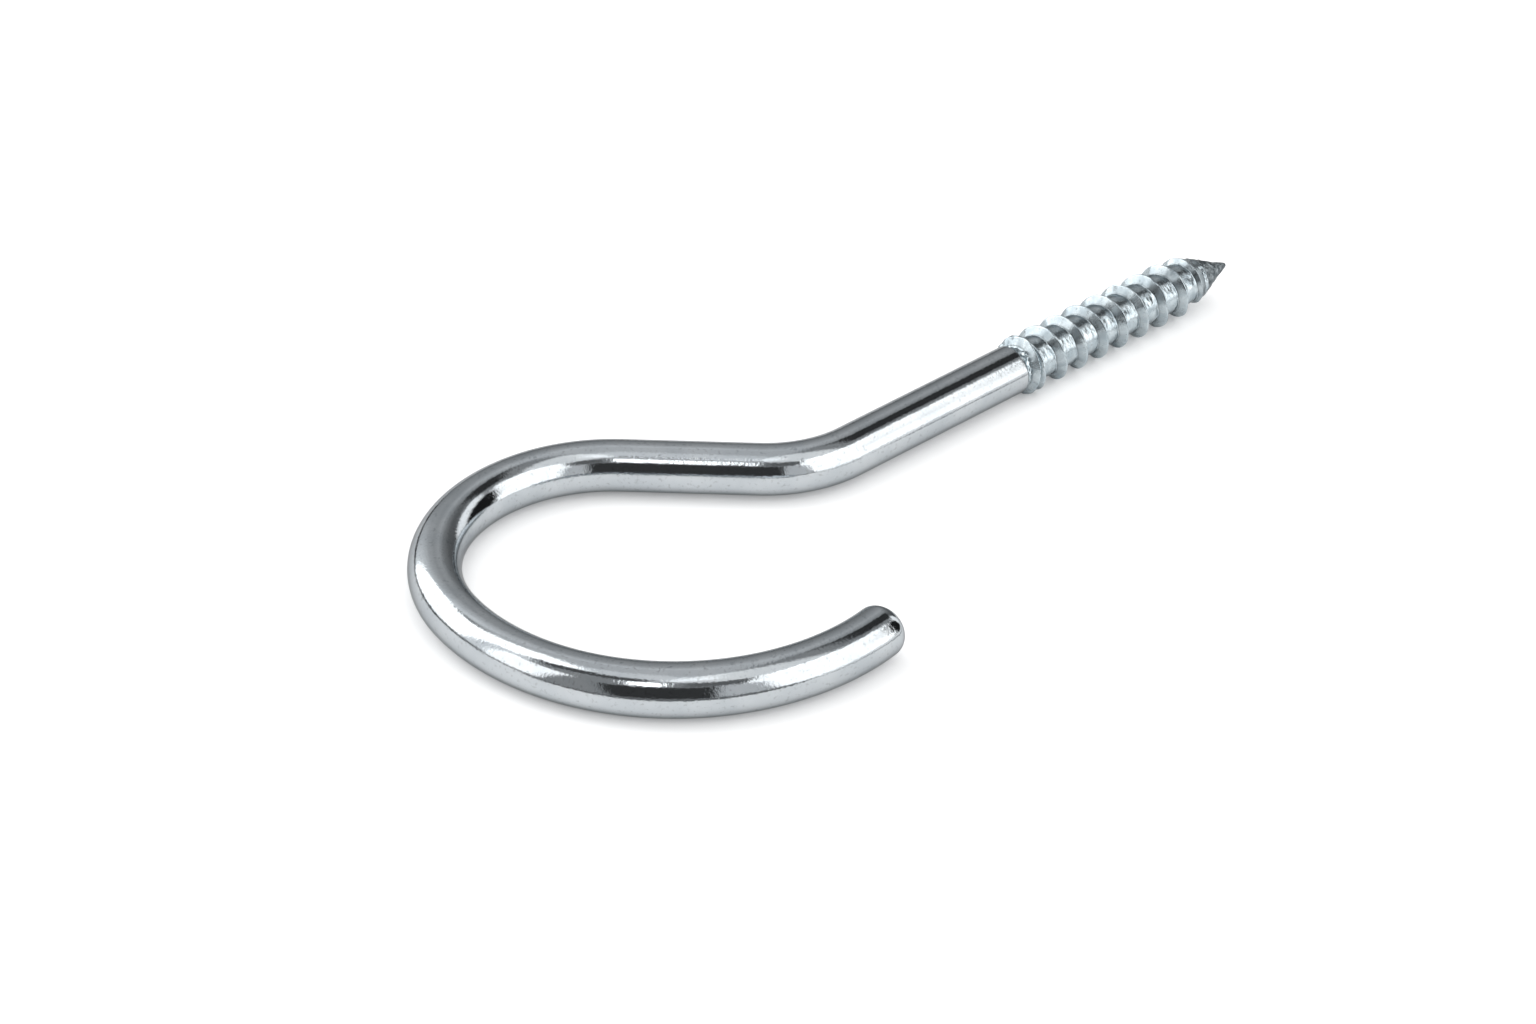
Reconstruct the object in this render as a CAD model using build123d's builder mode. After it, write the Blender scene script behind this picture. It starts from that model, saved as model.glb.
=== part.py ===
"""Chandelier hook: one length of wire with a rolled wood-screw thread and an open bow.

The frame is in millimetres. The origin is the centre of the shoulder, where the plain wire ends
and the thread begins. +X runs along the thread to its point, +Z is square to the plane that the
wire is bent in, and the bow lies on the -X side.
"""

import os
from math import asin, atan2, ceil, degrees, hypot

from build123d import *

os.makedirs("parts", exist_ok=True)

# Bent wire. Its lengths and radii are those of the centre line, from the shoulder to the free end.
wire_diameter = 5.8
shank_length = 25.2
neck_bend_radius = 13.8
neck_bend_angle = 44.8
neck_length = 15.0
bow_radius = 18.0
bow_angle = 125.0
return_radius = 26.9
return_angle = 111.7
free_end_rounding = 1.7
shoulder_rounding = 0.25

# Wood-screw thread, right-handed with one start
thread_length = 30.4
thread_pitch = 3.4
crest_diameter = 7.0
crest_width = 0.3
core_diameter = 5.1
ridge_width = 1.6
entry_angle = -52.0
entry_length = 0.9
runout_length = 1.2

# Point
point_length = 5.6
point_nose_radius = 0.35

# How deep the fused forms reach into each other
overlap = 0.3

wire_radius = wire_diameter / 2
crest_radius = crest_diameter / 2
core_radius = core_diameter / 2
helix_radius = core_radius - overlap
ridge_height = crest_radius - helix_radius

cone_length = point_length - point_nose_radius
cone_slant = hypot(cone_length, core_radius)
cone_half_angle = degrees(atan2(core_radius, cone_length) - asin(point_nose_radius / cone_slant))
nose_centre_x = thread_length + cone_length

# One turn of the ridge: its section swept along a turn of a helix
with BuildPart() as ridge_turn:
    with BuildLine():
        helix = Helix(thread_pitch, thread_pitch, helix_radius, direction=(1, 0, 0))
    outward = Vector(0, (helix @ 0).Y, (helix @ 0).Z)
    with BuildSketch(Plane(origin=helix @ 0, x_dir=outward, z_dir=helix % 0)):
        with BuildLine():
            Polyline(
                (0, -ridge_width / 2),
                (ridge_height, -crest_width / 2),
                (ridge_height, crest_width / 2),
                (0, ridge_width / 2),
                close=True,
            )
        make_face()
    sweep(is_frenet=True)

# The outline that the ridge fills: it grows out of the shoulder and runs out at the point
with BuildPart() as ridge_outline:
    with BuildSketch():
        with BuildLine():
            Polyline(
                (-overlap, 0),
                (-overlap, wire_radius - overlap),
                (entry_length, crest_radius),
                (thread_length - runout_length, crest_radius),
                (thread_length + overlap, helix_radius),
                (thread_length + overlap, 0),
                close=True,
            )
        make_face()
    revolve(axis=Axis.X)

# The whole ridge: turns end to end, with a spare one before the shoulder and one past the thread
turn_count = ceil(thread_length / thread_pitch) + 2
turn_starts = [((turn - 1) * thread_pitch, 0, 0) for turn in range(turn_count)]
helix_start_angle = Vector(0, 1, 0).get_signed_angle(outward, Vector(1, 0, 0))
with BuildPart() as ridge:
    with Locations(*turn_starts):
        add(ridge_turn.part, rotation=(entry_angle - helix_start_angle, 0, 0))
    add(ridge_outline.part, mode=Mode.INTERSECT)

with BuildPart() as hook:
    # Wire, bent in one plane
    with BuildLine():
        shank = Line((0, 0), (-shank_length, 0))
        neck_bend = JernArc(shank @ 1, shank % 1, neck_bend_radius, -neck_bend_angle)
        neck = PolarLine(neck_bend @ 1, neck_length, direction=neck_bend % 1)
        bow = JernArc(neck @ 1, neck % 1, bow_radius, bow_angle)
        bow_return = JernArc(bow @ 1, bow % 1, return_radius, return_angle)
    with BuildSketch(Plane(origin=shank @ 0, z_dir=shank % 0)):
        Circle(wire_radius)
    sweep()
    wire_ends = hook.faces().filter_by(GeomType.PLANE)
    fillet(wire_ends.sort_by(Axis.X)[-1].edges(), shoulder_rounding)
    fillet(wire_ends.sort_by_distance(bow_return @ 1)[0].edges(), free_end_rounding)

    # Core of the thread and its point: a cone that runs tangent into a rounded nose
    with BuildSketch():
        with BuildLine():
            nose = CenterArc((nose_centre_x, 0), point_nose_radius, 0, 90 - cone_half_angle)
            Polyline(
                nose @ 1,
                (thread_length, core_radius),
                (-overlap, core_radius),
                (-overlap, 0),
                nose @ 0,
            )
        make_face()
    revolve(axis=Axis.X)

    add(ridge.part)

hook.part.label = "hook"
export_step(hook.part, "parts/hook.step")
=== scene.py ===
# %% [markdown]
# # A ceiling hook of bent, zinc-plated wire
#
# The real hook is one length of steel wire. A rolling machine presses a wood-screw thread into
# one end, a bender turns the rest into an open bow, and the whole is plated with bright zinc.
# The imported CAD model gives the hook's sizes and its place. This lesson builds the surface that
# is seen: the swept wire, its thread, its plating, and the small studio that it mirrors.

# %% Load the fixed frame and keep the CAD box
import math

import bpy
from mathutils import Matrix, Vector


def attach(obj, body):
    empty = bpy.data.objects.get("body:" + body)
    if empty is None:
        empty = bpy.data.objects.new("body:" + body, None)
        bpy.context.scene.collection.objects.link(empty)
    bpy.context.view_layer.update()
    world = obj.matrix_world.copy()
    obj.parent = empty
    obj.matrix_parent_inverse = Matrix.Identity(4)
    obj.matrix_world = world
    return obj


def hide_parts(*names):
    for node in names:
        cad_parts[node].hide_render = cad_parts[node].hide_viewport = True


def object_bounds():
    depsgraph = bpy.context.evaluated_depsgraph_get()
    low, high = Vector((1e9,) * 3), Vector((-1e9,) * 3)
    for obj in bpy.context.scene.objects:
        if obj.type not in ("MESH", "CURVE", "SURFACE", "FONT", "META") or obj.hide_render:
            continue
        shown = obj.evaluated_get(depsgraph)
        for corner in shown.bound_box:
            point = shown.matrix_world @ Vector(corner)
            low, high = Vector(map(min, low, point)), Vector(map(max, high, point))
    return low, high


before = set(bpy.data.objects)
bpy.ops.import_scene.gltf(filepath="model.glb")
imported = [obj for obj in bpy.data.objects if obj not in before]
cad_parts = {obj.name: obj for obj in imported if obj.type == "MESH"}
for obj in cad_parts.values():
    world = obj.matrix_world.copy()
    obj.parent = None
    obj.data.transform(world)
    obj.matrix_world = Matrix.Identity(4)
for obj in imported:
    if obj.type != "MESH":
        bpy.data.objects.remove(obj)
cad_low, cad_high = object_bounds()
print("CAD box, mm:", [round(v * 1000, 2) for v in (*cad_low, *cad_high)])

# %% [markdown]
# ## Sizes
#
# The shoulder, where the plain wire ends and the thread begins, is the origin. +X runs along the
# thread to its point, and the bends lie in the plane z = 0. So the CAD box already says where the
# point is (its highest X) and how high the crests stand (its highest Z). The other sizes are the
# hook's own: the wire's radius, each straight and bend, and the section of the thread. The
# plain wire, the crests and the tip are kept two hundredths of a millimetre under those of the
# CAD solid, so that the skin stays inside the CAD box.

# %% Sizes of the hook, in metres and radians
MM = 0.001
skin_gap = 0.02 * MM
wire_radius = 2.9 * MM - skin_gap
crest_radius = cad_high.z - skin_gap
core_radius = 2.55 * MM
tip_x = cad_high.x - skin_gap
point_length = 5.6 * MM
thread_length = tip_x - point_length
nose_radius = 0.35 * MM
shoulder_rounding = 0.25 * MM
free_end_rounding = 1.7 * MM
print("thread, shoulder to point, mm:", round(thread_length / MM, 2))

# %% The straights and bends, from the shoulder to the free end
shank_length = 25.2 * MM
neck_bend_radius, neck_bend_angle = 13.8 * MM, math.radians(-44.8)
neck_length = 15.0 * MM
bow_radius, bow_angle = 18.0 * MM, math.radians(125.0)
return_radius, return_angle = 26.9 * MM, math.radians(111.7)
print("bow, mm across the middle of the wire:", round(2 * bow_radius / MM, 1))

# %% [markdown]
# ## The line that the wire follows
#
# A wire bender feeds straight lengths and turns them round formers. The line here is made the
# same way: a walker starts at the shoulder, goes straight or round a former, and leaves a point
# at every step. Bends need a point each degree and a half to look round.

# %% Walk the bends
STRAIGHT_STEP = 0.8 * MM
TURN_STEP = math.radians(1.5)


def go_straight(x, y, heading, length):
    """Points along a straight, without its first one."""
    count = max(1, round(length / STRAIGHT_STEP))
    steps = [length * (i + 1) / count for i in range(count)]
    return [(x + s * math.cos(heading), y + s * math.sin(heading), heading) for s in steps]


def go_round(x, y, heading, radius, angle):
    """Points along an arc, without its first one. A positive angle turns to the left."""
    side = math.copysign(1.0, angle)
    centre_x = x - side * radius * math.sin(heading)
    centre_y = y + side * radius * math.cos(heading)
    count = max(1, round(abs(angle) / TURN_STEP))
    headings = [heading + angle * (i + 1) / count for i in range(count)]
    return [
        (centre_x + side * radius * math.sin(h), centre_y - side * radius * math.cos(h), h)
        for h in headings
    ]


walk = [(0.0, 0.0, math.pi)]
walk += go_straight(*walk[-1], shank_length)
walk += go_round(*walk[-1], neck_bend_radius, neck_bend_angle)
walk += go_straight(*walk[-1], neck_length)
walk += go_round(*walk[-1], bow_radius, bow_angle)
walk += go_round(*walk[-1], return_radius, return_angle)
print("points along the bends:", len(walk))

# %% [markdown]
# ## Rings along the line
#
# The wire is a tube of rings. Each ring has a place on the line and a radius, so one list makes
# the rounded free end, the shoulder, the core of the thread and its turned point. Rings stand
# close together where an outline curves, and very close along the thread, because the ridge
# will wind across them.

# %% A rounded edge as rings
ROUNDING_STEPS = 14


def rounded_edge(radius, rounding):
    """(distance from the end, ring radius) pairs over a rounded edge, from the end inwards."""
    angles = [math.pi / 2 * i / ROUNDING_STEPS for i in range(ROUNDING_STEPS + 1)]
    return [
        (rounding * (1 - math.sin(a)), radius - rounding * (1 - math.cos(a)))
        for a in reversed(angles)
    ]


def free_end_rings():
    """Rings of the free end, back along its last bend."""
    end_x, end_y, heading = walk[-1]
    found = []
    for back, radius in rounded_edge(wire_radius, free_end_rounding):
        chord = 2 * return_radius * math.sin(back / return_radius / 2)
        middle = heading - back / return_radius / 2
        found.append((end_x - chord * math.cos(middle), end_y - chord * math.sin(middle), radius))
    return found


free_end = free_end_rings()
print("free end: rings", len(free_end), "flat face, mm across", round(2 * free_end[0][2] / MM, 2))

# %% The plain wire, down to the shoulder
THREAD_STEP = 0.05 * MM


def plain_wire_rings():
    """Rings of the plain wire, from the free end's rounding to the shoulder's."""
    end = walk[-1][:2]
    rounding_reach = math.dist(free_end[-1][:2], end) + THREAD_STEP
    clear = [
        (x, y, wire_radius)
        for x, y, _ in reversed(walk)
        if math.dist((x, y), end) > rounding_reach and x < -shoulder_rounding - THREAD_STEP
    ]
    shoulder = [
        (-back, 0.0, radius)
        for back, radius in reversed(rounded_edge(wire_radius, shoulder_rounding))
    ]
    return clear + shoulder


plain_wire = plain_wire_rings()
print("plain wire: rings", len(plain_wire))

# %% [markdown]
# The point is a cone that leaves the core's edge and just touches a small rounded nose. The
# half angle of such a cone follows from the two radii and the distance between them.

# %% The core of the thread, the cone and the nose
cone_run = point_length - nose_radius
cone_half_angle = math.atan2(core_radius, cone_run)
cone_half_angle -= math.asin(nose_radius / math.hypot(cone_run, core_radius))
cone_end = tip_x - nose_radius + nose_radius * math.sin(cone_half_angle)


def evenly(start, end):
    """Places from start to end, a thread step apart, without the first one."""
    count = round((end - start) / THREAD_STEP)
    return [start + (end - start) * (i + 1) / count for i in range(count)]


core = [(x, 0.0, core_radius) for x in evenly(0.0, thread_length)]
cone = [
    (x, 0.0, core_radius - (x - thread_length) * math.tan(cone_half_angle))
    for x in evenly(thread_length, cone_end)
]
nose = []
for step in range(1, ROUNDING_STEPS):
    lean = cone_half_angle + (math.pi / 2 - cone_half_angle) * step / ROUNDING_STEPS
    nose_x = tip_x - nose_radius + nose_radius * math.sin(lean)
    nose.append((nose_x, 0.0, nose_radius * math.cos(lean)))
rings = free_end + plain_wire + core + cone + nose
print("cone half angle, degrees:", round(math.degrees(cone_half_angle), 1), "rings:", len(rings))

# %% Draw the rail
rail_curve = bpy.data.curves.new("hook_rail", "CURVE")
rail_curve.dimensions = "3D"
rail_spline = rail_curve.splines.new("POLY")
rail_spline.points.add(len(rings) - 1)
for point, (x, y, radius) in zip(rail_spline.points, rings):
    point.co = (x, y, 0.0, 1.0)
    point.radius = radius
rail = bpy.data.objects.new("hook_rail", rail_curve)
bpy.context.scene.collection.objects.link(rail)
print("rail points:", len(rail_spline.points))

# %% [markdown]
# ## Helpers for node trees
#
# Shader trees and geometry trees share the same Math and Noise nodes. These helpers take a
# number or another node's socket for each input, so that a formula in a tree reads like one.


# %% Small node helpers
def feed(tree, socket, given):
    """Link a socket, or set it to a value."""
    if isinstance(given, bpy.types.NodeSocket):
        tree.links.new(given, socket)
    else:
        socket.default_value = given


def math_node(tree, operation, *given):
    """The result of a Math node. Each input is a number or a socket."""
    node = tree.nodes.new("ShaderNodeMath")
    node.operation = operation
    for socket, value in zip(node.inputs, given):
        feed(tree, socket, value)
    return node.outputs[0]


def vector_node(tree, operation, *given):
    """The result of a Vector Math node. Each input is a vector or a socket."""
    node = tree.nodes.new("ShaderNodeVectorMath")
    node.operation = operation
    for socket, value in zip(node.inputs, given):
        feed(tree, socket, value)
    return node.outputs["Value" if operation == "DOT_PRODUCT" else "Vector"]


def ramp_node(tree, value, low, high, to_low=0.0, to_high=1.0, kind="LINEAR"):
    """A clamped ramp of value, from to_low at low to to_high at high."""
    node = tree.nodes.new("ShaderNodeMapRange")
    node.interpolation_type = kind
    feed(tree, node.inputs["Value"], value)
    feed(tree, node.inputs["From Min"], low)
    feed(tree, node.inputs["From Max"], high)
    feed(tree, node.inputs["To Min"], to_low)
    feed(tree, node.inputs["To Max"], to_high)
    return node.outputs["Result"]


def noise_node(tree, vector, scale, detail, seed=0.0, roughness=0.5):
    """Noise of about 0 to 1. The fourth dimension is the seed."""
    node = tree.nodes.new("ShaderNodeTexNoise")
    node.noise_dimensions = "4D"
    feed(tree, node.inputs["Vector"], vector)
    feed(tree, node.inputs["Scale"], scale)
    feed(tree, node.inputs["Detail"], detail)
    feed(tree, node.inputs["W"], seed)
    feed(tree, node.inputs["Roughness"], roughness)
    return node.outputs[0]


def scaled(tree, vector, factor):
    """A vector or colour times a number or a socket."""
    output = vector_node(tree, "SCALE", vector)
    feed(tree, output.node.inputs["Scale"], factor)
    return output


def drawn_out(tree, vector, along):
    """A vector whose first component is scaled by along, to stretch a pattern that way."""
    return vector_node(tree, "MULTIPLY", vector, (along, 1.0, 1.0))


def grey(brightness):
    return (brightness, brightness, brightness, 1.0)


# %% [markdown]
# ## The plating
#
# Bright zinc on drawn wire isn't a perfect mirror. The plating is slightly pebbled, like orange
# peel, with pebbles about a third of a millimetre wide, and under it run faint draw lines, along
# the wire. Both only tilt the surface by a few degrees, which is enough to break the edge of
# every reflection into grains. All finishes of the hook share them, so they are node groups.
#
# The patterns have to follow the wire round its bends. The tube therefore carries an attribute,
# "straightened": where each point would lie if the wire were pulled straight again.


# %% Node group: pebbles and draw lines
def shader_group(name, inputs, outputs):
    """An empty shader node group with named inputs (name, type, value) and outputs."""
    group = bpy.data.node_groups.new(name, "ShaderNodeTree")
    for label, kind, value in inputs:
        socket = group.interface.new_socket(label, in_out="INPUT", socket_type=kind)
        if value is not None:
            socket.default_value = value
    for label, kind in outputs:
        group.interface.new_socket(label, in_out="OUTPUT", socket_type=kind)
    group_inputs = group.nodes.new("NodeGroupInput").outputs
    group_outputs = group.nodes.new("NodeGroupOutput").inputs
    return group, group_inputs, group_outputs


FLOAT, VECTOR, COLOUR = "NodeSocketFloat", "NodeSocketVector", "NodeSocketColor"
LINES_PER_METRE = 3500.0
WAVES_PER_METRE = 700.0

plating_grain, given, result = shader_group(
    "plating_grain",
    [
        ("Position", VECTOR, None),
        ("Pebbles per metre", FLOAT, 3300.0),
        ("Pebble share", FLOAT, 1.0),
        ("Draw line share", FLOAT, 0.15),
        ("Wave share", FLOAT, 0.5),
    ],
    [("Height", FLOAT), ("Lines", FLOAT)],
)
place, pebble_scale = given["Position"], given["Pebbles per metre"]
drawn = drawn_out(plating_grain, place, 0.03)
pebbles = noise_node(plating_grain, place, pebble_scale, detail=3.0, seed=1.0, roughness=0.6)
lines = noise_node(plating_grain, drawn, LINES_PER_METRE, detail=3.0, seed=2.0)
waves = noise_node(plating_grain, place, WAVES_PER_METRE, detail=1.0, seed=3.0)
height = math_node(plating_grain, "MULTIPLY", pebbles, given["Pebble share"])
height = math_node(plating_grain, "MULTIPLY_ADD", lines, given["Draw line share"], height)
height = math_node(plating_grain, "MULTIPLY_ADD", waves, given["Wave share"], height)
plating_grain.links.new(height, result["Height"])
plating_grain.links.new(lines, result["Lines"])
print("group:", plating_grain.name, [s.name for s in plating_grain.interface.items_tree])

# %% [markdown]
# Zinc also dulls unevenly: it dries in faint pale and bluish clouds, up to a few millimetres
# wide, and it gathers small dark specks. The second group mixes two zinc colours by such clouds,
# takes a little light away at the specks, and gives the cloud out as a mask for the roughness.

# %% Node group: clouds and specks in the zinc
SPECKS_PER_METRE = 2600.0
SPECK_CORE = 0.2
MIX_FACTOR, MIX_FIRST_COLOUR, MIX_SECOND_COLOUR, MIX_COLOUR_OUT = 0, 6, 7, 2

zinc_clouds, given, result = shader_group(
    "zinc_clouds",
    [
        ("Position", VECTOR, None),
        ("Pale zinc", COLOUR, (0.68, 0.72, 0.75, 1.0)),
        ("Blue zinc", COLOUR, (0.58, 0.64, 0.69, 1.0)),
        ("Clouds per metre", FLOAT, 400.0),
        ("Speck depth", FLOAT, 0.3),
        ("Speck share", FLOAT, 0.35),
    ],
    [("Color", COLOUR), ("Cloud", FLOAT)],
)
place, cloud_scale = given["Position"], given["Clouds per metre"]
cloud = noise_node(zinc_clouds, place, cloud_scale, detail=3.0, seed=4.0)
cloud = ramp_node(zinc_clouds, cloud, 0.35, 0.65)
speck = noise_node(zinc_clouds, place, SPECKS_PER_METRE, detail=2.0, seed=5.0)
speck = ramp_node(zinc_clouds, speck, given["Speck share"], SPECK_CORE)
mixed = zinc_clouds.nodes.new("ShaderNodeMix")
mixed.data_type = "RGBA"
zinc_clouds.links.new(cloud, mixed.inputs[MIX_FACTOR])
zinc_clouds.links.new(given["Pale zinc"], mixed.inputs[MIX_FIRST_COLOUR])
zinc_clouds.links.new(given["Blue zinc"], mixed.inputs[MIX_SECOND_COLOUR])
shade = math_node(zinc_clouds, "MULTIPLY", speck, given["Speck depth"])
shade = math_node(zinc_clouds, "SUBTRACT", 1.0, shade)
dimmed = scaled(zinc_clouds, mixed.outputs[MIX_COLOUR_OUT], shade)
zinc_clouds.links.new(dimmed, result["Color"])
zinc_clouds.links.new(cloud, result["Cloud"])
print("group:", zinc_clouds.name, [s.name for s in zinc_clouds.interface.items_tree])

# %% [markdown]
# ## Three finishes
#
# The plain wire is the shiniest: its surface was drawn smooth before it was plated. The rolled
# thread was pressed between dies, so its zinc is bluer, duller and more mottled. The point was
# pinched off, which leaves torn, darker metal. Each finish is one material with its own
# Principled shader, and the groups feed it.
#
# At grazing angles pebbled zinc mirrors less than polished metal does. Specular Tint tints only
# the edge of a metal, so a grey tint gives the wire its thin dark outlines.

# %% A plated material around the two groups
EDGE_TINT = 0.45


def attribute_output(tree, name, kind):
    node = tree.nodes.new("ShaderNodeAttribute")
    node.attribute_name = name
    return node.outputs[kind]


def plated(name, grain, clouds, bump_depth, low_roughness, high_roughness):
    """A zinc finish. grain and clouds set the groups' inputs, bump_depth is in metres."""
    material = bpy.data.materials.new(name)
    material.use_nodes = True
    tree = material.node_tree
    shader = tree.nodes["Principled BSDF"]
    shader.inputs["Metallic"].default_value = 1.0
    shader.inputs["Specular Tint"].default_value = grey(EDGE_TINT)
    place = attribute_output(tree, "straightened", "Vector")
    groups = []
    for group, settings in ((plating_grain, grain), (zinc_clouds, clouds)):
        node = tree.nodes.new("ShaderNodeGroup")
        node.node_tree = group
        tree.links.new(place, node.inputs["Position"])
        for label, value in settings.items():
            node.inputs[label].default_value = value
        groups.append(node)
    texture, zinc = groups
    bump = tree.nodes.new("ShaderNodeBump")
    bump.inputs["Strength"].default_value = 1.0
    bump.inputs["Distance"].default_value = bump_depth
    tree.links.new(texture.outputs["Height"], bump.inputs["Height"])
    tree.links.new(bump.outputs["Normal"], shader.inputs["Normal"])
    tree.links.new(zinc.outputs["Color"], shader.inputs["Base Color"])
    dull = math_node(tree, "MULTIPLY", zinc.outputs["Cloud"], texture.outputs["Lines"])
    rough = ramp_node(tree, dull, 0.0, 0.6, low_roughness, high_roughness)
    tree.links.new(rough, shader.inputs["Roughness"])
    return material, tree, texture, zinc, rough


# %% Bright plain wire
bright_wire, *_ = plated(
    "bright_wire",
    grain={
        "Pebbles per metre": 3300.0,
        "Pebble share": 1.0,
        "Draw line share": 0.15,
        "Wave share": 0.5,
    },
    clouds={
        "Pale zinc": (0.60, 0.63, 0.65, 1.0),
        "Blue zinc": (0.53, 0.565, 0.59, 1.0),
        "Clouds per metre": 250.0,
        "Speck depth": 0.3,
        "Speck share": 0.42,
    },
    bump_depth=0.014 * MM,
    low_roughness=0.04,
    high_roughness=0.10,
)
print(bright_wire.name, "nodes:", len(bright_wire.node_tree.nodes))

# %% Rolled thread
rolled_thread, thread_tree, _, thread_zinc, thread_rough = plated(
    "rolled_thread",
    grain={
        "Pebbles per metre": 3200.0,
        "Pebble share": 1.0,
        "Draw line share": 0.2,
        "Wave share": 2.0,
    },
    clouds={
        "Pale zinc": (0.66, 0.73, 0.76, 1.0),
        "Blue zinc": (0.47, 0.545, 0.585, 1.0),
        "Clouds per metre": 900.0,
        "Speck depth": 0.5,
        "Speck share": 0.38,
    },
    bump_depth=0.018 * MM,
    low_roughness=0.24,
    high_roughness=0.38,
)
print(rolled_thread.name, "nodes:", len(thread_tree.nodes))

# %% [markdown]
# The dies press hardest on the core and on the crests, and burnish them. The flanks between are
# only scraped, so they stay duller. Their colour is darker too, partly the greyer zinc of a scraped
# flank and partly painted shade from the ridges beside them, and a dark line at their foot is a
# painted shadow in the root. The tube carries an attribute, "crest", which is 0 on the core and 1
# on a crest. Two colour ramps read it as a section of the ridge: one scales the colour with that
# painted shade, the other the roughness.


# %% Section of the finish over the ridge
def section_ramp(tree, value, stops):
    """A grey colour ramp through (place, shade) stops."""
    node = tree.nodes.new("ShaderNodeValToRGB")
    elements = node.color_ramp.elements
    while len(elements) < len(stops):
        elements.new(1.0)
    for element, (place, shade) in zip(elements, stops):
        element.position = place
        element.color = grey(shade)
    tree.links.new(value, node.inputs["Fac"])
    return node.outputs["Color"]


thread_shader = thread_tree.nodes["Principled BSDF"]
crest = attribute_output(thread_tree, "crest", "Fac")
# Painted shade: the colour falls to half at each flank's foot, a painted shadow line, and stays
# darker up the flanks.
painted_shade_stops = [(0.0, 1.0), (0.01, 0.5), (0.1, 0.6), (0.16, 0.76), (0.8, 0.86), (0.95, 1.0)]
dull_stops = [(0.0, 0.7), (0.01, 1.0), (0.85, 0.9), (0.97, 0.5)]
painted_shade_section = section_ramp(thread_tree, crest, painted_shade_stops)
dull_section = section_ramp(thread_tree, crest, dull_stops)
painted_shade_colour = vector_node(thread_tree, "MULTIPLY", thread_zinc.outputs["Color"], painted_shade_section)
thread_tree.links.new(painted_shade_colour, thread_shader.inputs["Base Color"])
dulled = math_node(thread_tree, "MULTIPLY", thread_rough, dull_section)
thread_tree.links.new(dulled, thread_shader.inputs["Roughness"])
print(rolled_thread.name, "nodes:", len(thread_tree.nodes))

# %% Pinched point
pinched_point, *_ = plated(
    "pinched_point",
    grain={
        "Pebbles per metre": 3000.0,
        "Pebble share": 1.5,
        "Draw line share": 1.5,
        "Wave share": 3.0,
    },
    clouds={
        "Pale zinc": (0.52, 0.575, 0.60, 1.0),
        "Blue zinc": (0.13, 0.15, 0.165, 1.0),
        "Clouds per metre": 1500.0,
        "Speck depth": 0.85,
        "Speck share": 0.47,
    },
    bump_depth=0.04 * MM,
    low_roughness=0.22,
    high_roughness=0.45,
)
print(pinched_point.name, "nodes:", len(pinched_point.node_tree.nodes))

# %% [markdown]
# ## The thread
#
# A rolled wood-screw thread is a ridge that winds to the right: looking along the screw from its
# head, it runs away clockwise. Its section has a narrow crest, straight flanks and a flat root.
# Instead of sweeping a separate ridge, the tree lifts the tube's own surface: for each point it
# works out how far along the axis the nearest crest is, and reads the ridge's height from that
# distance. This way the thread, its run-in and its run-out are one closed skin with the wire.

# %% Sizes of the thread
thread_sizes = {
    "Wire radius": wire_radius,
    "Core radius": core_radius,
    "Crest radius": crest_radius,
    "Crest width": 0.12 * MM,
    "Ridge width": 1.5 * MM,
    "Pitch": 3.4 * MM,
    "Entry angle": math.radians(-60.0),
    "Lean": 0.6,
    "Lean side": math.radians(-43.0),
    "Wander": 0.045,
    "Entry length": 0.9 * MM,
    "Runout length": 3.0 * MM,
    "Thread length": thread_length,
    "Collar place": 1.45 * MM,
    "Collar height": 0.93 * MM,
    "Collar reach": 0.6 * MM,
    "Collar sway": 0.4 * MM,
    "Unevenness": 0.05 * MM,
    "Chew depth": 0.2 * MM,
    "Tear depth": 0.13 * MM,
    "Droop start": 28.5 * MM,
    "Droop end": 36.2 * MM,
    "Point droop": 0.4 * MM,
    "Seed": 7.0,
}
print("turns of the thread:", round(thread_length / thread_sizes["Pitch"], 2))

# %% The tree and its named inputs
SIDES = 96
wire_tree = bpy.data.node_groups.new("threaded_wire", "GeometryNodeTree")
GEOMETRY = "NodeSocketGeometry"
wire_tree.interface.new_socket("Geometry", in_out="INPUT", socket_type=GEOMETRY)
wire_tree.interface.new_socket("Geometry", in_out="OUTPUT", socket_type=GEOMETRY)
input_identifiers = {}
for label, value in thread_sizes.items():
    socket = wire_tree.interface.new_socket(label, in_out="INPUT", socket_type=FLOAT)
    input_identifiers[label] = socket.identifier
tree, new, link = wire_tree, wire_tree.nodes.new, wire_tree.links.new
size = new("NodeGroupInput").outputs
print("inputs:", list(input_identifiers))

# %% [markdown]
# Before the rail becomes a tube, each of its points keeps four things: its place, its direction,
# its ring's radius and its distance along the wire. After the sweep every point of the tube
# still knows them, so it can tell which way is outwards from the middle of the wire.

# %% Sweep the rail into a tube
keep = new("GeometryNodeCaptureAttribute")
kept_items = (("VECTOR", "Centre"), ("VECTOR", "Heading"), ("FLOAT", "Ring"), ("FLOAT", "Along"))
for kind, label in kept_items:
    keep.capture_items.new(kind, label)
link(size["Geometry"], keep.inputs["Geometry"])
link(new("GeometryNodeInputPosition").outputs[0], keep.inputs["Centre"])
link(new("GeometryNodeInputTangent").outputs[0], keep.inputs["Heading"])
link(new("GeometryNodeInputRadius").outputs[0], keep.inputs["Ring"])
link(new("GeometryNodeSplineParameter").outputs["Length"], keep.inputs["Along"])
circle = new("GeometryNodeCurvePrimitiveCircle")
circle.inputs["Resolution"].default_value = SIDES
circle.inputs["Radius"].default_value = 1.0
sweep = new("GeometryNodeCurveToMesh")
sweep.inputs["Fill Caps"].default_value = True
link(keep.outputs["Geometry"], sweep.inputs["Curve"])
link(circle.outputs["Curve"], sweep.inputs["Profile Curve"])
print("sides of the tube:", SIDES)

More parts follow.
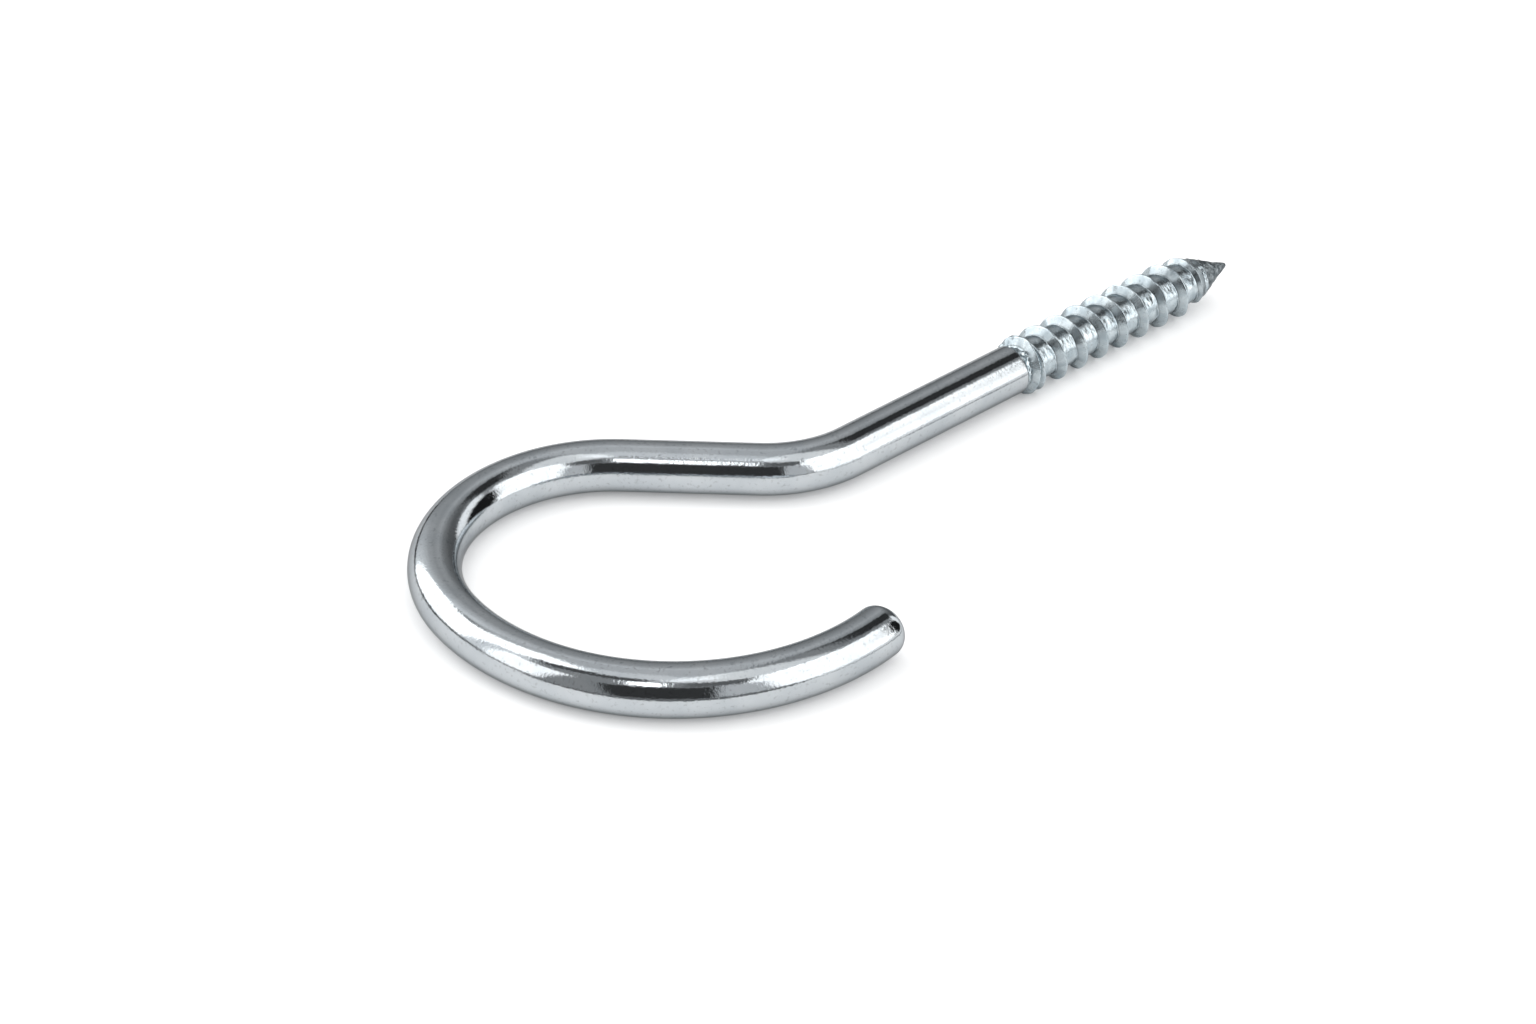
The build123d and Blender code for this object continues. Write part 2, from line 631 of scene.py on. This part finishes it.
# %% Which way is outwards
JUST_PAST_SHOULDER = 0.01 * MM
centre, ring_radius = keep.outputs["Centre"], keep.outputs["Ring"]
here = new("GeometryNodeInputPosition").outputs[0]
outwards = vector_node(tree, "NORMALIZE", vector_node(tree, "SUBTRACT", here, centre))
sideways = vector_node(tree, "CROSS_PRODUCT", (0.0, 0.0, 1.0), keep.outputs["Heading"])
side_part = vector_node(tree, "DOT_PRODUCT", outwards, sideways)
up_part = vector_node(tree, "DOT_PRODUCT", outwards, (0.0, 0.0, 1.0))
angle = math_node(tree, "ARCTAN2", up_part, side_part)
centre_parts = new("ShaderNodeSeparateXYZ")
link(centre, centre_parts.inputs[0])
axial = centre_parts.outputs["X"]
on_thread = math_node(tree, "GREATER_THAN", axial, JUST_PAST_SHOULDER)
on_point = math_node(tree, "GREATER_THAN", axial, size["Thread length"])
print("nodes with the directions:", len(tree.nodes))

# %% The wire pulled straight, for the patterns
straight = new("ShaderNodeCombineXYZ")
link(keep.outputs["Along"], straight.inputs["X"])
link(math_node(tree, "MULTIPLY", side_part, ring_radius), straight.inputs["Y"])
link(math_node(tree, "MULTIPLY", up_part, ring_radius), straight.inputs["Z"])
straightened = straight.outputs[0]
print("nodes with the straightened place:", len(tree.nodes))

# %% [markdown]
# A crest passes an angle once per turn, one pitch further along each time. So the distance along
# the axis, counted in pitches, less the angle, counted in turns, is a whole number on a crest.
# What is left after rounding, times the pitch, is the distance to the nearest crest.
#
# Cheap dies are rarely in perfect step. The ridge of this hook climbs more slowly on one side
# and catches up on the other, so from one side it looks almost like a row of rings. The lean
# adds that as one sine wave per turn, and leaves the pitch as it is. The ridge also wanders by a
# few hundredths of a pitch.

# %% The ridge
WANDERS_PER_METRE = 450.0
turns = math_node(tree, "DIVIDE", math_node(tree, "SUBTRACT", angle, size["Entry angle"]), math.tau)
lean_wave = math_node(tree, "SINE", math_node(tree, "SUBTRACT", angle, size["Lean side"]))
lean = math_node(tree, "DIVIDE", math_node(tree, "MULTIPLY", lean_wave, size["Lean"]), math.tau)
turns = math_node(tree, "ADD", turns, lean)
phase = math_node(tree, "SUBTRACT", math_node(tree, "DIVIDE", axial, size["Pitch"]), turns)
wander = noise_node(tree, straightened, WANDERS_PER_METRE, detail=1.0, seed=size["Seed"])
wander_back = math_node(tree, "MULTIPLY", size["Wander"], -1.0)
wander = ramp_node(tree, wander, 0.3, 0.7, wander_back, size["Wander"])
phase = math_node(tree, "ADD", phase, wander)
nearest = math_node(tree, "ROUND", phase)
away = math_node(tree, "ABSOLUTE", math_node(tree, "SUBTRACT", phase, nearest))
away = math_node(tree, "MULTIPLY", away, size["Pitch"])
half_crest = math_node(tree, "MULTIPLY", size["Crest width"], 0.5)
half_ridge = math_node(tree, "MULTIPLY", size["Ridge width"], 0.5)
ridge = ramp_node(tree, away, half_crest, half_ridge, size["Crest radius"], size["Core radius"])
print("nodes with the ridge:", len(tree.nodes))

# %% Its run-in at the shoulder and its run-out at the point
run_in = ramp_node(
    tree, axial, 0.0, size["Entry length"], size["Wire radius"], size["Crest radius"]
)
fading = math_node(tree, "SUBTRACT", size["Thread length"], size["Runout length"])
run_out = ramp_node(
    tree,
    axial,
    fading,
    size["Thread length"],
    size["Crest radius"],
    size["Core radius"],
    kind="SMOOTHSTEP",
)
ridge = math_node(tree, "MINIMUM", ridge, math_node(tree, "MINIMUM", run_in, run_out))
print("nodes with the run-in and the run-out:", len(tree.nodes))

# %% [markdown]
# Where the dies first bite, they push up a small collar of metal against the shoulder, further
# along on one side than on the other. The wire keeps its own radius before the shoulder and on
# the point.

# %% The collar
COLLAR_BLEND = 0.05 * MM
collar_place = math_node(tree, "MULTIPLY_ADD", lean_wave, size["Collar sway"], size["Collar place"])
past_collar = math_node(tree, "SUBTRACT", axial, collar_place)
from_collar = math_node(tree, "ABSOLUTE", past_collar)
collar_lift = ramp_node(tree, from_collar, 0.0, size["Collar reach"], size["Collar height"], 0.0)
collar = math_node(tree, "ADD", size["Core radius"], collar_lift)
collar = math_node(tree, "MINIMUM", collar, run_in)
lifted = math_node(tree, "SMOOTH_MAX", ridge, collar, COLLAR_BLEND)
lifted = math_node(tree, "MAXIMUM", math_node(tree, "MULTIPLY", lifted, on_thread), ring_radius)
before_point = math_node(tree, "SUBTRACT", 1.0, on_point)
lifted = ramp_node(tree, before_point, 0.0, 1.0, ring_radius, lifted)
print("nodes with the collar:", len(tree.nodes))

# %% [markdown]
# Rolled metal is never quite even. Three noises sink the surface, always inwards: shallow dents
# all over the thread, deeper tears towards the point, and a chewed band between the shoulder and
# the collar. They fade out at the shoulder's edge and at the very tip. Noise mostly stays between
# 0.3 and 0.7, so the ramps work in that range.

# %% The unevenness of rolled metal
DENTS_PER_METRE = 1100.0
TEARS_PER_METRE = 1500.0
CHEWS_PER_METRE = 1500.0
seed = size["Seed"]
chew_seed = math_node(tree, "ADD", seed, 1.0)
torn_along = drawn_out(tree, straightened, 0.6)
dents = noise_node(tree, straightened, DENTS_PER_METRE, detail=3.0, seed=seed, roughness=0.6)
dents = ramp_node(tree, dents, 0.7, 0.3)
tears = noise_node(tree, torn_along, TEARS_PER_METRE, detail=4.0, seed=seed, roughness=0.65)
tears = ramp_node(tree, tears, 0.72, 0.35)
chewed = noise_node(tree, straightened, CHEWS_PER_METRE, detail=2.0, seed=chew_seed, roughness=0.6)
chewed = ramp_node(tree, chewed, 0.6, 0.4)

thread_start = ramp_node(tree, axial, 0.0, 0.3 * MM)
before_collar = math_node(tree, "SUBTRACT", collar_place, axial)
near_shoulder = ramp_node(tree, before_collar, 0.2 * MM, 0.6 * MM)
near_point = ramp_node(tree, axial, fading, size["Thread length"])
tip_fade = ramp_node(tree, ring_radius, 0.2 * MM, 1.2 * MM)

dent_depth = math_node(tree, "MULTIPLY", size["Unevenness"], thread_start)
tear_depth = math_node(tree, "MULTIPLY", size["Tear depth"], near_point)
tear_depth = math_node(tree, "MULTIPLY", tear_depth, tip_fade)
chew_depth = math_node(tree, "MULTIPLY", size["Chew depth"], thread_start)
chew_depth = math_node(tree, "MULTIPLY", chew_depth, near_shoulder)
sunk = math_node(tree, "MULTIPLY", dents, dent_depth)
sunk = math_node(tree, "MULTIPLY_ADD", chewed, chew_depth, sunk)
sunk = math_node(tree, "MULTIPLY_ADD", tears, tear_depth, sunk)
sunk = math_node(tree, "MULTIPLY", sunk, tip_fade)
radius = math_node(tree, "SUBTRACT", lifted, sunk)
print("nodes with the unevenness:", len(tree.nodes))

# %% [markdown]
# The point hangs down a little, as the pinching jaws left it. So the middle of the wire drops
# there before the surface is moved out to its new radius. Two attributes stay with the mesh for
# the materials: the straightened place, and how far up the ridge each point is.

# %% Move the surface and store the masks
move = new("GeometryNodeSetPosition")
link(sweep.outputs["Mesh"], move.inputs["Geometry"])
droop = ramp_node(tree, axial, size["Droop start"], size["Droop end"], kind="SMOOTHSTEP")
droop = math_node(tree, "MULTIPLY", droop, size["Point droop"])
downwards = scaled(tree, (0.0, 0.0, -1.0), droop)
drooped = vector_node(tree, "ADD", centre, downwards)
out = scaled(tree, outwards, radius)
link(vector_node(tree, "ADD", drooped, out), move.inputs["Position"])
last = move.outputs["Geometry"]
height_share = ramp_node(tree, radius, size["Core radius"], size["Crest radius"])
for label, kind, value in (
    ("straightened", "FLOAT_VECTOR", straightened),
    ("crest", "FLOAT", height_share),
):
    store = new("GeometryNodeStoreNamedAttribute")
    store.data_type = kind
    store.domain = "POINT"
    store.inputs["Name"].default_value = label
    link(last, store.inputs["Geometry"])
    link(value, store.inputs["Value"])
    last = store.outputs["Geometry"]
print("nodes in the tree:", len(tree.nodes))

# %% [markdown]
# The tree ends by smoothing the shading and by giving each stretch of the wire its finish. A Set
# Material node overwrites only the faces that its selection names, so the plain finish goes on
# first, the thread's over it from the shoulder on, and the point's last.

# %% Finish each stretch
smooth = new("GeometryNodeSetShadeSmooth")
link(last, smooth.inputs["Geometry"])
realize = new("GeometryNodeRealizeInstances")
link(smooth.outputs["Geometry"], realize.inputs["Geometry"])
last = realize.outputs["Geometry"]
stretches = ((bright_wire, True), (rolled_thread, on_thread), (pinched_point, on_point))
for finish, stretch in stretches:
    paint = new("GeometryNodeSetMaterial")
    paint.inputs["Material"].default_value = finish
    link(last, paint.inputs["Geometry"])
    feed(tree, paint.inputs["Selection"], stretch)
    last = paint.outputs["Geometry"]
link(last, new("NodeGroupOutput").inputs["Geometry"])
print("finishes:", [m.name for m in (bright_wire, rolled_thread, pinched_point)])

# %% Run the tree and keep its result as a plain mesh
modifier = rail.modifiers.new("threaded_wire", "NODES")
modifier.node_group = wire_tree
for label, value in thread_sizes.items():
    modifier[input_identifiers[label]] = value
bpy.context.view_layer.update()
depsgraph = bpy.context.evaluated_depsgraph_get()
hook_mesh = bpy.data.meshes.new_from_object(rail.evaluated_get(depsgraph), depsgraph=depsgraph)
hook_mesh.name = "ceiling_hook"
hook = bpy.data.objects.new("ceiling_hook", hook_mesh)
bpy.context.scene.collection.objects.link(hook)
rail.modifiers.clear()
bpy.data.objects.remove(rail)
hook_mesh.calc_loop_triangles()
print("hook: points", len(hook_mesh.vertices), "triangles", len(hook_mesh.loop_triangles))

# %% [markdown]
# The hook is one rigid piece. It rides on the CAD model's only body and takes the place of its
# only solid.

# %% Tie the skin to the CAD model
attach(hook, "root")
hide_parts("hook")
print("attributes:", [a.name for a in hook_mesh.attributes if not a.name.startswith(".")])

# %% [markdown]
# ## The camera
#
# The hook is seen from above at about 35 degrees, from beyond its bow and on the free end's side,
# through a long lens, as small hardware usually is. The long lens keeps the far thread almost as
# large as the near bow.

# %% Place the camera
camera_heading = math.radians(-41.87)
camera_height = math.radians(34.65)
camera_distance = 0.3757
sight = Vector(
    (
        -math.sin(camera_heading) * math.cos(camera_height),
        math.cos(camera_heading) * math.cos(camera_height),
        -math.sin(camera_height),
    )
)
look_at = Vector((-0.03965, -0.00276, 0.0))
camera_data = bpy.data.cameras.new("camera")
camera_data.lens = 82.34
camera = bpy.data.objects.new("camera", camera_data)
camera.location = look_at - sight * camera_distance
camera.rotation_euler = sight.to_track_quat("-Z", "Y").to_euler()
bpy.context.scene.collection.objects.link(camera)
bpy.context.scene.camera = camera
print("camera at, mm:", [round(v / MM, 1) for v in camera.location])

# %% [markdown]
# ## The studio
#
# Bright metal has almost no colour of its own: it shows the room around it. So the room is the
# other half of the finish. A grey dome stands for the walls and the ceiling, softboxes give the
# broad white bands, and cards of one even brightness give the dark ones and fill the gaps. The
# camera sees none of them, only the white table and the white world behind it.
#
# Each softbox and card has a row that says where it hangs (azimuth, elevation and roll, in
# degrees), its width and height in metres, and its brightness, where 1 is white. A card's row
# ends with its distance in metres.


# %% Directions in the room
DOME_RADIUS = 2.0


def direction(azimuth, elevation):
    """Unit vector into the room. Azimuth 0 is straight behind the hook, 90 the camera's right."""
    turn = camera_heading - math.radians(azimuth)
    tilt = math.radians(elevation)
    ground = math.cos(tilt)
    return Vector((-math.sin(turn) * ground, math.cos(turn) * ground, math.sin(tilt)))


def hung(azimuth, elevation, roll, distance):
    """Placing of something flat that hangs in the room and faces the hook."""
    away = direction(azimuth, elevation)
    facing = away.to_track_quat("Z", "Y").to_matrix().to_4x4()
    roll_about_sight = Matrix.Rotation(math.radians(-roll), 4, "Z")
    return Matrix.Translation(away * distance) @ facing @ roll_about_sight


print("the camera's right:", [round(v, 2) for v in direction(90, 0)])


# %% Softboxes
SOFTBOX_DISTANCE = 1.5
WATTS_PER_SQUARE_METRE = 4.0


def softbox(name, azimuth, elevation, roll, width, height, brightness):
    """An area lamp. Four watts per square metre give its face a brightness of 1."""
    lamp = bpy.data.lights.new(name, "AREA")
    lamp.shape = "RECTANGLE"
    lamp.size = width
    lamp.size_y = height
    lamp.energy = WATTS_PER_SQUARE_METRE * brightness * width * height
    box = bpy.data.objects.new(name, lamp)
    box.matrix_world = hung(azimuth, elevation, roll, SOFTBOX_DISTANCE)
    box.visible_camera = False
    bpy.context.scene.collection.objects.link(box)
    print(name, "watts:", round(lamp.energy, 1))


# Name, azimuth, elevation, roll, width, height, brightness.
softboxes = (
    ("left_softbox", -69, 27, -5, 1.25, 1.15, 1.4),
    ("left_high_softbox", -77, 58, -10, 0.6, 0.6, 1.3),
    ("left_front_softbox", -117, 24, 0, 0.62, 1.05, 1.1),
    ("right_softbox", 118, 28, 4, 1.6, 1.7, 1.2),
    ("ceiling_softbox", 132, 70, -12, 0.95, 0.85, 0.55),
    ("front_window", -162, 53, -12, 0.25, 0.38, 2.2),
    ("back_right_strip", 55, 21, -20, 0.42, 1.25, 0.8),
)
for row in softboxes:
    softbox(*row)
print("softboxes:", len(softboxes))


# %% Cards and walls of a set brightness
def staged(name, points, faces, material):
    """A piece of the room, which isn't part of the hook."""
    mesh = bpy.data.meshes.new(name)
    mesh.from_pydata(points, [], faces)
    mesh.materials.append(material)
    thing = bpy.data.objects.new(name, mesh)
    bpy.context.scene.collection.objects.link(thing)
    return thing


def even_grey(name, brightness):
    """A surface that shows one brightness whatever light falls on it, a touch towards blue."""
    material = bpy.data.materials.new(name)
    material.use_nodes = True
    nodes = material.node_tree.nodes
    nodes.remove(nodes["Principled BSDF"])
    glow = nodes.new("ShaderNodeEmission")
    glow.inputs["Color"].default_value = (brightness * 0.98, brightness, brightness * 1.02, 1.0)
    material.node_tree.links.new(glow.outputs[0], nodes["Material Output"].inputs["Surface"])
    return material


def card(name, azimuth, elevation, roll, width, height, brightness, distance):
    """A flat card of even brightness that faces the hook, and that the camera doesn't see."""
    place = hung(azimuth, elevation, roll, distance)
    signs = ((-1, -1), (1, -1), (1, 1), (-1, 1))
    corners = [place @ Vector((x * width / 2, y * height / 2, 0.0)) for x, y in signs]
    flat = staged(name, corners, [(0, 1, 2, 3)], even_grey(name, brightness))
    flat.visible_camera = False


# Name, azimuth, elevation, roll, width, height, brightness, distance.
cards = (
    ("left_white_wall", -50, 13, 0, 0.6, 0.75, 1.15, 1.68),
    ("left_gap_wall", -99, 30, 0, 0.4, 1.3, 1.0, 1.6),
    ("dark_left_horizon", -36, 3, 0, 0.75, 0.16, 0.04, 1.6),
    ("dark_low_rim", -70, 1.8, 0, 1.5, 0.09, 0.05, 1.45),
    ("dark_right_card", 78, 18, -23, 0.9, 1.2, 0.015, 1.6),
    ("dark_back_corner", 45, 54, -4, 0.58, 0.4, 0.04, 1.4),
    ("dark_front_card", -172, 20, -4, 1.0, 1.2, 0.05, 1.4),
    ("dark_front_top", 163, 52, 16, 0.5, 0.4, 0.16, 1.4),
    ("dark_ceiling_bar", -125, 63, -28, 0.7, 0.28, 0.1, 1.4),
    ("front_right_wall", 158, 19, -4, 0.55, 1.4, 0.65, 1.6),
    ("front_left_wall", -141, 26, -4, 0.7, 1.2, 0.32, 1.6),
    ("ceiling", -46, 74, -42, 2.0, 1.1, 0.62, 1.6),
    ("left_ceiling", -125, 79, 0, 1.0, 0.5, 0.85, 1.55),
)
for row in cards:
    card(*row)
print("cards:", len(cards))

# %% [markdown]
# The wall behind the hook is one curved sheet of paper, lit from the left. Flat cards would leave
# a step at each edge, which the wire would mirror as a line. So the sheet keeps a brightness at
# each of its corners, in an attribute, and Blender blends them across the faces between. The
# table below has a row for each elevation in degrees, with a brightness for each azimuth.

# %% Curved back wall
WALL_DISTANCE = 1.75
wall_azimuths = (-46, -24, -8, 7, 22, 37, 46)
wall_brightness = {
    0: (1.05, 0.40, 0.26, 0.26, 0.15, 0.12, 0.12),
    38: (1.00, 0.55, 0.42, 0.50, 0.28, 0.15, 0.18),
    60: (0.60, 0.80, 0.80, 0.72, 0.42, 0.22, 0.22),
}


def graded_wall(name, azimuths, brightness_by_height, distance):
    """A curved sheet through the directions given. Its brightness is blended between them."""
    heights = sorted(brightness_by_height)
    across = len(azimuths)
    points = [direction(a, h) * distance for h in heights for a in azimuths]
    faces = []
    for row in range(len(heights) - 1):
        for column in range(across - 1):
            corner = row * across + column
            faces.append((corner, corner + 1, corner + across + 1, corner + across))
    material = even_grey(name, 1.0)
    tree = material.node_tree
    strength = attribute_output(tree, "brightness", "Fac")
    tree.links.new(strength, tree.nodes["Emission"].inputs["Strength"])
    wall = staged(name, points, faces, material)
    values = [value for height in heights for value in brightness_by_height[height]]
    wall.data.attributes.new("brightness", "FLOAT", "POINT").data.foreach_set("value", values)
    wall.visible_camera = False
    return wall


back_wall = graded_wall("back_wall", wall_azimuths, wall_brightness, WALL_DISTANCE)
print("back wall: corners", len(back_wall.data.vertices))

# %% [markdown]
# The hook doesn't lie quite level. It rests on the underside of its bow and on the crests of its
# thread, and the crests stand out further than the plain wire does. So the table slopes by that
# difference over the distance between the two, which is a little over a third of a degree.

# %% The table and the dome
SEGMENTS, LEVELS = 48, 12
DOME_BRIGHTNESS = 0.32
bow_rest_x = cad_low.x + bow_radius
table_slope = (wire_radius - crest_radius) / (thread_length - bow_rest_x)


def table_height(x):
    """The table's height under a place along the thread's axis."""
    return -crest_radius + table_slope * (x - thread_length)


def dome_point(level, segment):
    """A place on the dome: level 0 is the table's rim."""
    rise = math.pi / 2 * level / LEVELS
    x = DOME_RADIUS * math.cos(rise) * math.cos(math.tau * segment / SEGMENTS)
    y = DOME_RADIUS * math.cos(rise) * math.sin(math.tau * segment / SEGMENTS)
    return (x, y, DOME_RADIUS * math.sin(rise) + table_height(x))


places = [(level, segment) for level in range(LEVELS) for segment in range(SEGMENTS)]
dome_points = [dome_point(level, segment) for level, segment in places]
dome_points.append(dome_point(LEVELS, 0))
dome_faces = []
for level, segment in places:
    left = level * SEGMENTS + segment
    right = level * SEGMENTS + (segment + 1) % SEGMENTS
    if level == LEVELS - 1:
        dome_faces.append((left, right, len(dome_points) - 1))
    else:
        dome_faces.append((left, right, right + SEGMENTS, left + SEGMENTS))
dome = staged("dome", dome_points, dome_faces, even_grey("dome_grey", DOME_BRIGHTNESS))
dome.visible_camera = False
print("table slope, degrees:", round(math.degrees(math.atan(table_slope)), 2))

# %% [markdown]
# Papers lie on the table for the metal's sake alone: only mirrors see them. A dark one in front
# of the bow darkens the lower flank of the wire that faces the camera. It begins just outside the
# CAD box and widens for a metre towards the camera. Two grey strips draw the thin line between
# the wire's bright band and its lower one: the shank mirrors the strip that lies along the
# thread, and the free end mirrors the one beyond it.

# %% Papers on the table
PAPER_LIFT = 0.1 * MM
DARK_PAPER, GREY_PAPER = 0.2, 0.5


def table_paper(name, spots, brightness):
    """Paper lying on the table, with its corners above or below the spots."""
    points = [(spot.x, spot.y, table_height(spot.x) + PAPER_LIFT) for spot in spots]
    paper = staged(name, points, [(0, 1, 2, 3)], even_grey(name, brightness))
    paper.visible_camera = False
    paper.visible_diffuse = False
    paper.visible_shadow = False


gap, reach_left, reach_right = 7 * MM, 52 * MM, 48 * MM
towards_camera, to_the_right = direction(180, 0), direction(90, 0)
near_edge = Vector((cad_low.x, cad_low.y, 0.0)) + towards_camera * gap
near_left = near_edge - to_the_right * reach_left
near_right = near_edge + to_the_right * reach_right
far_right = near_right + direction(138, 0)
far_left = near_left + direction(-120, 0)
table_paper("dark_table_paper", [near_left, near_right, far_right, far_left], DARK_PAPER)

shank_corners_mm = [(-8, -27), (40, -27), (40, -17), (-8, -17)]
shank_strip = [Vector((x, y, 0.0)) * MM for x, y in shank_corners_mm]
table_paper("grey_strip_by_shank", shank_strip, GREY_PAPER)

free_end_spot = Vector((walk[-1][0], walk[-1][1], 0.0))
outward, sideward = direction(100, 0), direction(10, 0)
free_end_corners_mm = [(22, -25), (22, 25), (34, 25), (34, -25)]
free_end_strip = [
    free_end_spot + (outward * out + sideward * side) * MM for out, side in free_end_corners_mm
]
table_paper("grey_strip_by_free_end", free_end_strip, GREY_PAPER)
print("free end's strip at, mm:", [[round(v / MM) for v in spot.xy] for spot in free_end_strip])

# %% [markdown]
# The table is matt white. A weak glow, which only the camera, mirrors and glass can see, lifts
# its open parts to full white. In mirrors it is a third weaker, or the hook's underside would
# look lit from below. An Ambient Occlusion node takes most of the glow away close to the hook.
# That is a painted shadow, narrow and dark, on top of the real shadow on the matt white.

# %% White table
TABLE_GREY = 0.72
TABLE_GLOW = 0.56
MIRRORED_SHARE = 0.68
SHADED_SHARE = 0.3
SHADOW_REACH = 2.8 * MM
SHADOW_SAMPLES = 6
SHADED_BELOW, OPEN_ABOVE = 0.12, 0.8
table_white = bpy.data.materials.new("white_table")
table_white.use_nodes = True
tree = table_white.node_tree
nodes, link = tree.nodes, tree.links.new
nodes.remove(nodes["Principled BSDF"])
matt = nodes.new("ShaderNodeBsdfDiffuse")
matt.inputs["Color"].default_value = grey(TABLE_GREY)
glow = nodes.new("ShaderNodeEmission")
glow.inputs["Color"].default_value = grey(TABLE_GLOW)
path = nodes.new("ShaderNodeLightPath")
mirrored = math_node(tree, "MULTIPLY", path.outputs["Is Glossy Ray"], MIRRORED_SHARE)
seen = math_node(tree, "MAXIMUM", path.outputs["Is Camera Ray"], mirrored)
seen = math_node(tree, "MAXIMUM", seen, path.outputs["Is Transmission Ray"])
# Painted shadow: Ambient Occlusion dims the glow near the hook.
painted_shadow_occlusion = nodes.new("ShaderNodeAmbientOcclusion")
painted_shadow_occlusion.samples = SHADOW_SAMPLES
painted_shadow_occlusion.inputs["Distance"].default_value = SHADOW_REACH
glow_left_by_painted_shadow = ramp_node(tree, painted_shadow_occlusion.outputs["AO"], SHADED_BELOW, OPEN_ABOVE, SHADED_SHARE, 1.0)
link(math_node(tree, "MULTIPLY", seen, glow_left_by_painted_shadow), glow.inputs["Strength"])
both = nodes.new("ShaderNodeAddShader")
link(matt.outputs[0], both.inputs[0])
link(glow.outputs[0], both.inputs[1])
link(both.outputs[0], nodes["Material Output"].inputs["Surface"])
staged("white_table", dome_points[:SEGMENTS], [tuple(range(SEGMENTS))], table_white)
print("nodes in the table's material:", len(nodes))

# %% White world
world = bpy.data.worlds.new("white_world")
bpy.context.scene.world = world
world.use_nodes = True
world.node_tree.nodes["Background"].inputs["Color"].default_value = grey(1.0)
bpy.context.scene.view_settings.view_transform = "Standard"
print("world:", world.name)
